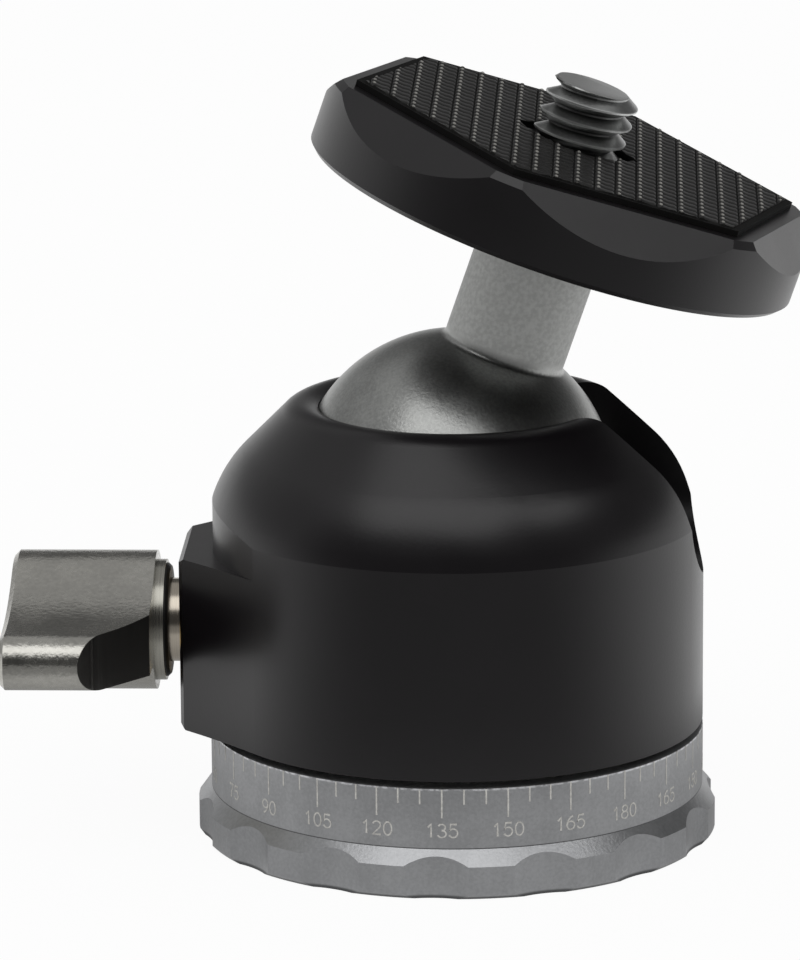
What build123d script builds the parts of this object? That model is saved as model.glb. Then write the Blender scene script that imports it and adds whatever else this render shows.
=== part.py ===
from build123d import *
import os
from math import cos, hypot, pi, radians, sin, sqrt, tan

# Compact tripod ball head with a panning base, a side drop notch and one clamp knob.
# Millimetres. +Z up, origin at the centre of the underside of the base, drop notch
# towards +X, clamp knob towards -X. The ball leans towards the notch, clamped.

# ---- fits shared by several pieces -------------------------------------------------
running_gap = 0.05  # radial clearance of pieces that turn or slide in each other
seat_gap = 0.02  # radial clearance of pieces that stay still in each other

# ---- base --------------------------------------------------------------------------
body_radius = 17.1  # scale band and housing share one diameter
flange_overhang = 0.9  # beyond the scale band
flange_edge_height = 2.3  # upright edge, below the bevel
flange_height = 3.3
flange_foot_chamfer = 0.3
scallop_count = 15
scallop_width = 5.0
scallop_depth = 0.55
scallop_angle = -92.9  # heading of the scallop below the 135 mark, from +X

scale_ring_wall = 2.1
base_height = 7.5

socket_minor_radius = 3.97  # 3/8"-16 UNC
bush_radius = 5.6

# ---- pan bearing -------------------------------------------------------------------
lower_washer_thickness = 0.5
lower_washer_play = 0.4  # round the spindle
lower_washer_margin = 0.2  # inside the edge of the housing floor
floor_thickness = 2.0
foot_wall = 2.9  # of the housing round its floor
spindle_radius = 8.6
spindle_flange_radius = 10.2
spindle_flange_thickness = 1.3
spindle_bore_radius = 5.0
upper_washer_thickness = 0.3
screw_count = 4
screw_circle_radius = 7.0
screw_radius = 1.0
screw_head_radius = 1.9
screw_length = 7.6
screw_slot = (0.5, 0.5)  # width and depth of the driver slot

# ---- housing -----------------------------------------------------------------------
dome = (2.41, 4.55)  # how far it draws in and rises from the cylinder to the cone
mouth_angle = 31.5  # edge of the mouth above the ball's equator
rim_crest = (0.95, 0.365)  # outwards and up from the edge of the mouth
cone_end = (2.5, -0.275)  # top of the 45 degree cone, likewise
chamber_wall_gap = 1.1  # round the widest part of the ball
chamber_top_below_centre = 1.5
socket_clearance = 0.07
boss_stand_out = 1.83  # boss face beyond the cylinder
boss_half_width = 4.4
boss_rise = 5.5  # top of the boss above the clamp axis
boss_root_angle = 38.35  # from -X to where the flare meets the cylinder
boss_edge_chamfer = 0.35
boss_step = 0.3  # into the body above the middle of the boss
notch_half_width = 5.5
notch_centre_drop = 0.4  # centre of the notch's round end below the ball centre

# ---- ball and its seat -------------------------------------------------------------
ball_radius = 11.0
ball_foot_gap = 1.6  # lowest point of the ball above the spindle
ball_lean = 19.1  # towards the notch
ball_side_lean = 0.95  # towards -Y
neck_radius = 4.25
neck_fillet = 0.5
platform_offset = 19.85  # ball centre to the underside of the platform
neck_socket_depth = 1.5
liner_thickness = 0.5
liner_angles = (34.0, 56.0)  # from straight down, seen from the ball centre
cup_bore_radius = 6.2
cup_foot_gap = 1.3  # underside of the cup above the spindle
cup_depth = 4.9

# ---- clamp -------------------------------------------------------------------------
clamp_rise = 6.65  # clamp axis above the underside of the housing
shaft_radius = 2.9
clamp_bush_radius = 4.2
clamp_bush_length = 4.8
plunger_reach = 1.7  # of the wedge tip inside the chamber wall
plunger_tail_gap = 0.2  # between the wedge's tail and the bush
wedge_angle = 25.0
wedge_tip_drop = 0.2  # top of the tip below the clamp axis
slot_margin = 0.15

# ---- knob --------------------------------------------------------------------------
knob_stand_off = 1.8  # wing's near face from the boss
wing_length = 9.88
wing_hub_radius = 4.83
wing_tip_reach = 11.2  # centre of the tip's rounding
wing_tip_radius = 1.95
wing_back_hollow_radius = 3.0
wing_cone_start_radius = 7.9
wing_cone_slope = 0.85  # axial over radial
wing_edge_chamfer = 0.35
wing_cap_depth = 1.6  # from the wing's outer end to the shaft's
collar_radius = 4.2
collar_thickness = 0.65
knob_washer_thickness = 0.3
knob_washer_inset = 0.25  # inside the collar's edge
knob_washer_chamfer = 0.2
knob_screw_radius = 1.25
knob_screw_length = 6.0
knob_screw_head = (2.4, 1.3)  # radius and height
knob_screw_hex = 1.25  # across corners, halved

# ---- platform ----------------------------------------------------------------------
platform_radius = 17.25
platform_thickness = 5.38
platform_foot_chamfer = 0.35
platform_rim_chamfer = (0.4, 0.5)  # radial and axial
land_corner_radius = 17.39
land_bevel_angle = 49.0
hexagon_angle = 15.1  # heading of a corner from the lean direction
pad_corner_radius = 16.15
pad_thickness = 0.42
tread_margin = 0.6  # plain border round the ridges, measured at a corner
ridge_height = 0.2
ridge_pitch = 1.455
ridge_land = 0.25
ridge_offset = 0.08  # middle ridge's crest from the axis, down the slope
pad_hole_radius = 3.7
pad_hole_point = 4.4

stud_radius = 3.175  # 1/4"-20 UNC
stud_shank_radius = 2.6  # below the pad, at the thread's root
stud_protrusion = 4.4  # above the platform's land
stud_depth = 6.0  # below the underside of the platform
stud_chamfer = 0.45

# ---- levels that follow ------------------------------------------------------------
housing_bottom = base_height + lower_washer_thickness
floor_top = housing_bottom + floor_thickness
spindle_flange_bottom = floor_top + upper_washer_thickness
spindle_top = spindle_flange_bottom + spindle_flange_thickness
clamp_height = housing_bottom + clamp_rise
cup_bottom = spindle_top + cup_foot_gap
cup_top = cup_bottom + cup_depth
ball_height = spindle_top + ball_foot_gap + ball_radius
flange_radius = body_radius + flange_overhang
core_radius = body_radius - scale_ring_wall
floor_radius = body_radius - foot_wall
socket_radius = ball_radius + socket_clearance
chamber_radius = ball_radius + chamber_wall_gap
boss_face = body_radius + boss_stand_out
bush_start = boss_face - clamp_bush_length
plunger_tip = chamber_radius - plunger_reach
plunger_tail = bush_start - plunger_tail_gap
wing_start = boss_face + knob_stand_off
liner_inner_radius = ball_radius + running_gap
liner_outer_radius = liner_inner_radius + liner_thickness
dish_radius = liner_outer_radius + running_gap
land_height = platform_offset + platform_thickness
wing_end = wing_start + wing_length

ball_centre = Pos(0, 0, ball_height)
head_pose = ball_centre * Rot(X=ball_side_lean) * Rot(Y=ball_lean)
clamp_axis = Pos(0, 0, clamp_height) * Rot(Y=-90)  # local +Z runs along -X


def turned(*points):
    """Solid of revolution about Z of a closed outline in radius and height."""
    outline = make_face(Polyline(*[(r, 0, z) for r, z in points], close=True))
    return revolve(outline, Axis.Z)


def ring(inner, outer, bottom, top):
    """Plain ring about Z."""
    return turned((inner, bottom), (outer, bottom), (outer, top), (inner, top))


def around(count, radius, start=0.0):
    """Locations spaced evenly on a circle about Z."""
    step = 360 / count
    return [Rot(Z=start + n * step) * Pos(radius, 0, 0) for n in range(count)]


# ---- base pieces -------------------------------------------------------------------
def base_plate():
    """Scalloped grip flange with the raised core that carries the scale ring."""
    plate = turned(
        (0, 0),
        (flange_radius - flange_foot_chamfer, 0),
        (flange_radius, flange_foot_chamfer),
        (flange_radius, flange_edge_height),
        (body_radius, flange_height),
        (core_radius, flange_height),
        (core_radius, base_height),
        (0, base_height),
    )
    half_chord = scallop_width / 2
    scallop_radius = (half_chord**2 + scallop_depth**2) / (2 * scallop_depth)
    cutter = extrude(Circle(scallop_radius), flange_height)
    reach = flange_radius - scallop_depth + scallop_radius
    for place in around(scallop_count, reach, scallop_angle):
        plate -= place * cutter
    plate -= extrude(Circle(bush_radius + seat_gap), base_height)
    pilot = Pos(0, 0, spindle_top - screw_length) * extrude(
        Circle(screw_radius + seat_gap), screw_length
    )
    for place in around(screw_count, screw_circle_radius, 45):
        plate -= place * pilot
    return plate


def scale_ring():
    """Band that carries the pan scale, sleeved on the base's core."""
    return ring(core_radius + seat_gap, body_radius, flange_height, base_height)


def tripod_bush():
    """Steel insert with the tripod's 3/8-inch thread, at its minor diameter."""
    return ring(socket_minor_radius, bush_radius, 0, base_height)


def pan_spindle():
    """Flanged sleeve that the housing turns on."""
    body = turned(
        (spindle_bore_radius, base_height),
        (spindle_radius, base_height),
        (spindle_radius, spindle_flange_bottom),
        (spindle_flange_radius, spindle_flange_bottom),
        (spindle_flange_radius, spindle_top),
        (spindle_bore_radius, spindle_top),
    )
    for place in around(screw_count, screw_circle_radius, 45):
        body -= place * Pos(0, 0, spindle_top) * countersunk(seat_gap)
    return body


def countersunk(growth=0.0):
    """Countersunk screw about Z with its head flush at height zero."""
    head = screw_head_radius + growth
    shank = screw_radius + growth
    return turned(
        (0, 0), (head, 0), (shank, shank - head), (shank, -screw_length), (0, -screw_length)
    )


def spindle_screws():
    """The countersunk screws that hold the spindle down."""
    width, depth = screw_slot
    screw = countersunk() - Pos(0, 0, -depth / 2) * Box(
        2 * screw_head_radius, width, depth
    )
    screws = [
        place * Pos(0, 0, spindle_top) * screw
        for place in around(screw_count, screw_circle_radius, 45)
    ]
    return Compound(children=screws)


def lower_glide_washer():
    inner = spindle_radius + lower_washer_play
    outer = floor_radius - lower_washer_margin
    return ring(inner, outer, base_height, housing_bottom)


def upper_glide_washer():
    inner = spindle_radius + seat_gap
    return ring(inner, spindle_flange_radius, floor_top, spindle_flange_bottom)


# ---- housing pieces ----------------------------------------------------------------
def boss_blank():
    """Flat-faced clamp boss that flares into the cylinder with concave sides."""
    unit_x, unit_y = cos(radians(boss_root_angle)), sin(radians(boss_root_angle))
    root_x, root_y = body_radius * unit_x, body_radius * unit_y
    gap_x, gap_y = boss_face - root_x, root_y - boss_half_width
    # circle tangent to the cylinder at the root and through the face's corner
    flare = (gap_x**2 + gap_y**2) / (2 * (gap_x * unit_x - gap_y * unit_y))
    outline = Polyline(
        (0, -root_y),
        (-root_x, -root_y),
        (-boss_face, -boss_half_width),
        (-boss_face, boss_half_width),
        (-root_x, root_y),
        (0, root_y),
        close=True,
    )
    plan = make_face(outline)
    for side in (-1, 1):
        centre = (-root_x - flare * unit_x, side * (root_y + flare * unit_y))
        plan -= Pos(*centre) * Circle(flare)
    boss_height = clamp_height + boss_rise - housing_bottom
    blank = Pos(0, 0, housing_bottom) * extrude(plan, boss_height)
    face_edges = blank.faces().sort_by(Axis.X)[0].edges()
    return chamfer(face_edges, boss_edge_chamfer)


def boss_relief(top):
    """Crescent milled into the body over the boss, down to nothing at the boss's roots."""
    waist = body_radius - boss_step
    root_x = body_radius * cos(radians(boss_root_angle))
    # circle through the middle of the waist and both roots
    offset = (body_radius**2 - waist**2) / (2 * (waist - root_x))
    plan = Pos(-body_radius, 0) * Rectangle(2 * (body_radius - root_x), 2 * body_radius)
    plan -= Pos(offset, 0) * Circle(waist + offset)
    boss_top = clamp_height + boss_rise
    return Pos(0, 0, boss_top) * extrude(plan, top - boss_top)


def housing():
    """Domed body with the ball socket, the drop notch and the clamp boss."""
    def on_socket(angle):
        turn = radians(angle)
        return Vector(socket_radius * cos(turn), 0, ball_height + socket_radius * sin(turn))

    def at(radius, height):
        return Vector(radius, 0, height)

    mouth = on_socket(mouth_angle)
    crest, cone_top = mouth + at(*rim_crest), mouth + at(*cone_end)
    # dome: from the top of the cylinder, tangent to the 45 degree cone at its foot
    run, rise = dome
    cone_foot = at(body_radius - run, cone_top.Z + cone_top.X - body_radius + run)
    shoulder = at(body_radius, cone_foot.Z - rise)
    dome_radius = (rise**2 + run**2) / (sqrt(2) * (rise - run))
    dome_centre = cone_foot - at(dome_radius, dome_radius) / sqrt(2)
    to_shoulder = (shoulder - dome_centre).normalized()
    to_foot = (cone_foot - dome_centre).normalized()
    dome_middle = dome_centre + (to_shoulder + to_foot).normalized() * dome_radius

    chamber_top = ball_height - chamber_top_below_centre
    foot_inner = at(floor_radius + seat_gap, housing_bottom)
    outline = [
        Polyline(foot_inner, at(body_radius, housing_bottom), shoulder),
        ThreePointArc(shoulder, dome_middle, cone_foot),
        Line(cone_foot, cone_top),
        ThreePointArc(cone_top, crest, mouth),
        ThreePointArc(mouth, on_socket(mouth_angle / 2), on_socket(0)),
        Polyline(
            on_socket(0),
            at(socket_radius, chamber_top),
            at(chamber_radius, chamber_top),
            at(chamber_radius, floor_top),
            at(floor_radius + seat_gap, floor_top),
            foot_inner,
        ),
    ]
    shell = revolve(make_face(outline), Axis.Z)

    boss = boss_blank()
    boss -= Pos(0, 0, housing_bottom) * extrude(Circle(core_radius), shoulder.Z)
    shell += boss
    shell -= boss_relief(cone_foot.Z)

    notch_height = ball_height - notch_centre_drop
    round_end = Pos(0, 0, notch_height) * Rot(Y=90) * extrude(
        Circle(notch_half_width), flange_radius
    )
    slot = Pos(flange_radius / 2, 0, notch_height + ball_radius / 2) * Box(
        flange_radius, 2 * notch_half_width, ball_radius
    )
    shell -= round_end + slot

    shell -= clamp_axis * extrude(Circle(shaft_radius + running_gap), boss_face)
    shell -= clamp_axis * Pos(0, 0, bush_start) * extrude(
        Circle(clamp_bush_radius + seat_gap), clamp_bush_length
    )
    return shell


def housing_floor():
    """Disc that closes the housing from below and turns on the spindle."""
    return ring(spindle_radius + running_gap, floor_radius, housing_bottom, floor_top)


def clamp_bush():
    """Threaded brass bush for the clamp shaft, flush with the boss."""
    length = clamp_bush_length - 2 * seat_gap
    bush = Circle(clamp_bush_radius) - Circle(shaft_radius + running_gap)
    return clamp_axis * Pos(0, 0, bush_start + seat_gap) * extrude(bush, length)


# ---- ball, seat and clamp wedge ----------------------------------------------------
def wedge_line(clearance):
    """Sloping top of the wedge as (tip height, tail height), moved up by a clearance."""
    tip = clamp_height - wedge_tip_drop + clearance
    return tip, tip + (plunger_tail - plunger_tip) * tan(radians(wedge_angle))


def below_wedge(half_width, bottom, clearance, tip):
    """Block along -X under the wedge line, from the tip outwards."""
    tip_height, tail_height = wedge_line(clearance)
    extra = plunger_tip - tip
    tip_height -= extra * tan(radians(wedge_angle))
    side = make_face(
        Polyline(
            (-tip, 0, bottom),
            (-tip, 0, tip_height),
            (-plunger_tail, 0, tail_height),
            (-plunger_tail, 0, bottom),
            close=True,
        )
    )
    return extrude(side, half_width, both=True, dir=(0, 1, 0))


def seat_cup():
    """Cup that presses the lined dish up against the ball."""
    cup = ring(cup_bore_radius, chamber_radius - running_gap, cup_bottom, cup_top)
    cup -= ball_centre * Sphere(dish_radius)
    slot_half_width = shaft_radius + slot_margin
    cup -= below_wedge(slot_half_width, cup_bottom, running_gap, plunger_tip - slot_margin)
    return cup


def friction_liner():
    """Thin spherical band between the ball and the cup."""
    start, end = (radians(angle) for angle in liner_angles)

    def on(radius, angle):
        return (radius * sin(angle), 0, -radius * cos(angle))

    middle = (start + end) / 2
    outline = [
        Line(on(liner_inner_radius, start), on(liner_outer_radius, start)),
        ThreePointArc(*[on(liner_outer_radius, angle) for angle in (start, middle, end)]),
        Line(on(liner_outer_radius, end), on(liner_inner_radius, end)),
        ThreePointArc(*[on(liner_inner_radius, angle) for angle in (end, middle, start)]),
    ]
    return ball_centre * revolve(make_face(outline), Axis.Z)


def clamp_plunger():
    """Round pin with a sloping nose that wedges the cup up."""
    length = plunger_tail - plunger_tip
    pin = clamp_axis * Pos(0, 0, plunger_tip) * extrude(Circle(shaft_radius - running_gap), length)
    return pin & below_wedge(shaft_radius, clamp_height - shaft_radius, 0, plunger_tip)


def ball():
    """Ball and neck turned from one bar, bored for the camera stud."""
    # concave fillet circle that touches both the ball and the neck
    fillet_r = neck_radius + neck_fillet
    fillet_z = sqrt((ball_radius + neck_fillet) ** 2 - fillet_r**2)
    touch = ball_radius / (ball_radius + neck_fillet)
    touch_r, touch_z = fillet_r * touch, fillet_z * touch
    to_ball = hypot(touch_r - fillet_r, touch_z - fillet_z)
    middle_r = (touch_r - fillet_r) / to_ball - 1
    middle_z = (touch_z - fillet_z) / to_ball
    reach = neck_fillet / hypot(middle_r, middle_z)
    neck_top = platform_offset + neck_socket_depth
    outline = [
        ThreePointArc((0, 0, -ball_radius), (ball_radius, 0, 0), (touch_r, 0, touch_z)),
        ThreePointArc(
            (touch_r, 0, touch_z),
            (fillet_r + middle_r * reach, 0, fillet_z + middle_z * reach),
            (neck_radius, 0, fillet_z),
        ),
        Polyline(
            (neck_radius, 0, fillet_z),
            (neck_radius, 0, neck_top),
            (0, 0, neck_top),
            (0, 0, -ball_radius),
        ),
    ]
    body = revolve(make_face(outline), Axis.Z)
    bore_bottom = platform_offset - stud_depth - seat_gap
    body -= Pos(0, 0, bore_bottom) * extrude(
        Circle(stud_shank_radius + running_gap), neck_top - bore_bottom
    )
    return head_pose * body


# ---- knob pieces -------------------------------------------------------------------
def knob_shaft():
    """Stainless clamp screw from the wedge to the wing, drilled for the end screw."""
    start = plunger_tail + running_gap
    end = wing_end - wing_cap_depth
    shaft = Pos(0, 0, start) * extrude(Circle(shaft_radius), end - start)
    shaft -= Pos(0, 0, end - knob_screw_length) * extrude(
        Circle(knob_screw_radius + seat_gap), knob_screw_length
    )
    return clamp_axis * shaft


def knob_washer():
    """Black nylon washer that faces the housing."""
    face = wing_start - collar_thickness - knob_washer_thickness
    inner, outer = shaft_radius + seat_gap, collar_radius - knob_washer_inset
    return clamp_axis * turned(
        (inner, face),
        (outer - knob_washer_chamfer, face),
        (outer, face + knob_washer_chamfer),
        (outer, face + knob_washer_thickness),
        (inner, face + knob_washer_thickness),
    )


def knob_collar():
    """Bright steel collar between the washer and the wing."""
    inner = shaft_radius + seat_gap
    return clamp_axis * ring(inner, collar_radius, wing_start - collar_thickness, wing_start)


def wing_hollow(radius):
    """Concave arc from the hub to a lobe's flat: touch on the hub, middle, touch on the flat."""
    centre = Vector(
        sqrt((wing_hub_radius + radius) ** 2 - (wing_tip_radius + radius) ** 2),
        wing_tip_radius + radius,
    )
    on_hub = centre * (wing_hub_radius / (wing_hub_radius + radius))
    on_flat = Vector(centre.X, wing_tip_radius)
    halfway = ((on_hub - centre).normalized() + (on_flat - centre).normalized()).normalized()
    return on_hub, centre + halfway * radius, on_flat


def wing_profile():
    """Two-lobed S section: each lobe has a long thumb hollow and a tight one behind."""
    thumb_hollow_radius = (
        wing_tip_reach**2 + wing_tip_radius**2 - wing_hub_radius**2
    ) / (2 * (wing_hub_radius - wing_tip_radius))
    thumb = wing_hollow(thumb_hollow_radius)
    back = [Vector(point.X, -point.Y) for point in wing_hollow(wing_back_hollow_radius)]
    tip = [
        Vector(wing_tip_reach, wing_tip_radius),
        Vector(wing_tip_reach + wing_tip_radius, 0),
        Vector(wing_tip_reach, -wing_tip_radius),
    ]
    lobe = make_face(
        [
            Line((0, 0), thumb[0]),
            ThreePointArc(*thumb),
            ThreePointArc(thumb[2], *tip[1:]),
            Line(tip[2], back[2]),
            ThreePointArc(*reversed(back)),
            Line(back[0], (0, 0)),
        ]
    )
    return Circle(wing_hub_radius) + lobe + Rot(Z=180) * lobe


def knob_wing():
    """Wing extruded along the clamp axis, its lobes turned back on the housing side."""
    profile = wing_profile()
    straight = wing_length - wing_edge_chamfer
    wing = extrude(profile, straight)
    wing += Pos(0, 0, straight) * extrude(profile, wing_edge_chamfer, taper=45)
    reach = wing_tip_reach + 2 * wing_tip_radius
    depth = (reach - wing_cone_start_radius) * wing_cone_slope
    wing -= turned((wing_cone_start_radius, 0), (reach, 0), (reach, depth))
    wing -= extrude(Circle(shaft_radius + seat_gap), wing_length)
    # local X of the wing runs towards -Y, local Y up
    return clamp_axis * Rot(Z=-90) * Pos(0, 0, wing_start) * wing


def knob_screw():
    """Socket-head screw, sunk in the wing's outer end, that holds the wing on."""
    head_radius, head_height = knob_screw_head
    seat = wing_end - wing_cap_depth
    screw = Pos(0, 0, seat) * extrude(Circle(head_radius), head_height)
    screw += Pos(0, 0, seat - knob_screw_length + seat_gap) * extrude(
        Circle(knob_screw_radius), knob_screw_length - seat_gap
    )
    key = RegularPolygon(knob_screw_hex, 6)
    screw -= Pos(0, 0, seat + head_height / 2) * extrude(key, head_height)
    return clamp_axis * screw


# ---- platform pieces ---------------------------------------------------------------
def platform():
    """Turned disc with a hexagonal land between six milled bevels."""
    rim_in, rim_down = platform_rim_chamfer
    top = land_height
    disc = turned(
        (0, platform_offset),
        (platform_radius - platform_foot_chamfer, platform_offset),
        (platform_radius, platform_offset + platform_foot_chamfer),
        (platform_radius, top - rim_down),
        (platform_radius - rim_in, top),
        (0, top),
    )
    flat = land_corner_radius * cos(pi / 6)
    reach = platform_radius + 1 - flat
    drop = reach * tan(radians(land_bevel_angle))
    side = make_face(
        Polyline((flat, 0, top), (flat + reach, 0, top), (flat + reach, 0, top - drop), close=True)
    )
    cutter = extrude(side, platform_radius, both=True, dir=(0, 1, 0))
    for n in range(6):
        disc -= Rot(Z=hexagon_angle + 30 + 60 * n) * cutter
    disc -= Pos(0, 0, platform_offset) * extrude(
        Circle(stud_shank_radius + seat_gap), platform_thickness
    )
    disc -= Pos(0, 0, platform_offset) * extrude(
        Circle(neck_radius + running_gap), neck_socket_depth + seat_gap
    )
    return head_pose * disc


def rubber_pad():
    """Ribbed hexagonal pad with a pointed opening for the stud."""
    hexagon = Rot(Z=hexagon_angle) * RegularPolygon(pad_corner_radius, 6)
    point = pad_hole_point
    side = pad_hole_radius
    opening = Circle(side) + make_face(
        Polyline((point, 0), (0, side), (-point, 0), (0, -side), close=True)
    )
    sheet = hexagon - opening
    pad = Pos(0, 0, land_height) * extrude(sheet, pad_thickness)

    tooth_top = pad_thickness + ridge_height
    run = pad_corner_radius
    tooth = make_face(
        Polyline(
            (0, 0, 0),
            (ridge_pitch, 0, 0),
            (ridge_pitch, 0, pad_thickness),
            (ridge_land, 0, tooth_top),
            (0, 0, tooth_top),
            close=True,
        )
    )
    ridge = extrude(tooth, run, both=True, dir=(0, 1, 0))
    start = ridge_offset - ridge_land / 2
    reach = int(pad_corner_radius / ridge_pitch)
    field = Rot(Z=hexagon_angle) * RegularPolygon(pad_corner_radius - tread_margin, 6)
    column = Pos(0, 0, land_height) * extrude(field - opening, tooth_top)
    for n in range(-reach, reach):
        pad += (Pos(start + n * ridge_pitch, 0, land_height) * ridge) & column
    return head_pose * pad


def camera_stud():
    """Camera thread at its outer diameter, from inside the neck up through the pad."""
    bottom = platform_offset - stud_depth
    thread_start = land_height + pad_thickness + ridge_height
    top = land_height + stud_protrusion
    stud = turned(
        (0, bottom),
        (stud_shank_radius, bottom),
        (stud_shank_radius, thread_start),
        (stud_radius, thread_start),
        (stud_radius, top - stud_chamfer),
        (stud_radius - stud_chamfer, top),
        (0, top),
    )
    return head_pose * stud


pieces = [
    base_plate,
    scale_ring,
    tripod_bush,
    pan_spindle,
    spindle_screws,
    lower_glide_washer,
    upper_glide_washer,
    housing,
    housing_floor,
    clamp_bush,
    clamp_plunger,
    seat_cup,
    friction_liner,
    ball,
    knob_shaft,
    knob_washer,
    knob_collar,
    knob_wing,
    knob_screw,
    platform,
    rubber_pad,
    camera_stud,
]

os.makedirs("parts", exist_ok=True)
for piece in pieces:
    export_step(piece(), f"parts/{piece.__name__}.step")
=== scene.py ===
"""Looks of a compact tripod ball head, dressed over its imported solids.

Lengths in the classes are millimetres, and every mesh is made in metres in the
frame of the solids: Z up out of the base, the drop notch towards +X and the
clamp knob towards -X.
"""

import logging
import math
from collections.abc import Callable, Iterable, Sequence
from dataclasses import dataclass, field
from enum import Enum
from typing import ClassVar

import bmesh
import bpy
from mathutils import Matrix, Vector


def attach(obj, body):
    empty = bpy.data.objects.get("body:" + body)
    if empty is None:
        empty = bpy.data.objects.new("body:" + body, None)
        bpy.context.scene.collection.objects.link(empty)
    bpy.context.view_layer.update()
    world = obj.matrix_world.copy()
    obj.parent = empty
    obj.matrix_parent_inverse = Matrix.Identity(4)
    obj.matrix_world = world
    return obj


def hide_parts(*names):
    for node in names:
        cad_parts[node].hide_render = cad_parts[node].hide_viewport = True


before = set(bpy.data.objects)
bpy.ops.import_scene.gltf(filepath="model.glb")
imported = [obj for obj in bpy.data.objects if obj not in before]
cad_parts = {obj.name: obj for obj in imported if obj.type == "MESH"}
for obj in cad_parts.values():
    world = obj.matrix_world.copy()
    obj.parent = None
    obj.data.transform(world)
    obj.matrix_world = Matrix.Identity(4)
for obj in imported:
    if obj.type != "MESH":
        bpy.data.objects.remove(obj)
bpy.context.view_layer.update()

log = logging.getLogger("ball_head")
MM = 0.001
WELD = 1e-7  # metres under which a turned shape's points are one
CLAMP_HEIGHT = 14.65  # of the clamp screw's axis
CREST = "crest"  # attribute that says how near a point is to a crest
Colour = tuple[float, float, float]
Point = tuple[float, float]
Path = list[Point]
Settings = dict[str, object] | None
Inputs = dict[str | int, object] | None


class Body(Enum):
    """The bodies that new pieces ride on."""

    BASE = "base"
    PLATFORM = "platform"


class Slot(Enum):
    """The record's material slots, passed along with each new piece."""

    GREY = "grey_anodised"
    STEEL = "steel"
    STUD = "grey_steel"
    RUBBER = "rubber"


class Axis(Enum):
    """The axes that pieces were turned about."""

    PAN = "Z"
    CLAMP = "X"


class Combine(Enum):
    """What one closed mesh does to another."""

    CUT = "DIFFERENCE"
    JOIN = "UNION"


# ---- node trees ----------------------------------------------------------------------
class Value:
    """One number in a shader tree, with Python arithmetic that adds Math nodes."""

    NOISE_RANGE: ClassVar[Point] = (0.3, 0.7)  # where most of a noise lies

    def __init__(self, graph: "Graph", socket: bpy.types.NodeSocket) -> None:
        """Wraps an output socket of a graph."""
        self.graph = graph
        self.socket = socket

    def _math(self, operation: str, *operands: object) -> "Value":
        """Adds a Math node.

        Args:
            operation: Blender's name of the operation.
            operands: values or numbers, in the node's order.

        Returns:
            The result.
        """
        return self.graph.value(
            "ShaderNodeMath", {"operation": operation}, dict(enumerate(operands))
        )

    def __add__(self, other: object) -> "Value":
        """Sum."""
        return self._math("ADD", self, other)

    __radd__ = __add__

    def __sub__(self, other: object) -> "Value":
        """Difference."""
        return self._math("SUBTRACT", self, other)

    def __rsub__(self, other: object) -> "Value":
        """Difference, reflected."""
        return self._math("SUBTRACT", other, self)

    def __mul__(self, other: object) -> "Value":
        """Product."""
        return self._math("MULTIPLY", self, other)

    __rmul__ = __mul__

    def __truediv__(self, other: object) -> "Value":
        """Quotient."""
        return self._math("DIVIDE", self, other)

    def __abs__(self) -> "Value":
        """Size without sign."""
        return self._math("ABSOLUTE", self)

    def __gt__(self, other: object) -> "Value":
        """1 where this is the larger, otherwise 0."""
        return self._math("GREATER_THAN", self, other)

    def __lt__(self, other: object) -> "Value":
        """1 where this is the smaller, otherwise 0."""
        return self._math("LESS_THAN", self, other)

    def larger(self, other: object) -> "Value":
        """The larger of the two."""
        return self._math("MAXIMUM", self, other)

    def between(self, low: float, high: float) -> "Value":
        """Smooth step.

        Args:
            low: where the step starts, at 0.
            high: where it ends, at 1.

        Returns:
            0 below, 1 above, smooth in between.
        """
        settings = {"interpolation_type": "SMOOTHSTEP", "clamp": True}
        inputs = {"Value": self, "From Min": low, "From Max": high}
        return self.graph.value("ShaderNodeMapRange", settings, inputs)

    def stretched(self) -> "Value":
        """A noise's middle range, stretched over 0 to 1."""
        return self.between(*self.NOISE_RANGE)


class Tree:
    """A node tree that is filled from Python."""

    tree: bpy.types.NodeTree

    def node(self, kind: str, settings: Settings = None, inputs: Inputs = None) -> bpy.types.Node:
        """Adds one node.

        Args:
            kind: the node's type.
            settings: its properties, which are set first.
            inputs: numbers, colours, objects, values or sockets by input name or number.

        Returns:
            The node.
        """
        node = self.tree.nodes.new(kind)
        for name, setting in (settings or {}).items():
            setattr(node, name, setting)
        for key, given in (inputs or {}).items():
            if isinstance(given, Value):
                given = given.socket
            if isinstance(given, bpy.types.NodeSocket):
                self.tree.links.new(given, node.inputs[key])
            else:
                node.inputs[key].default_value = given
        return node

    def output(
        self, kind: str, settings: Settings = None, inputs: Inputs = None, name: str | int = 0
    ) -> bpy.types.NodeSocket:
        """Adds a node and gives one of its outputs."""
        return self.node(kind, settings, inputs).outputs[name]


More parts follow.
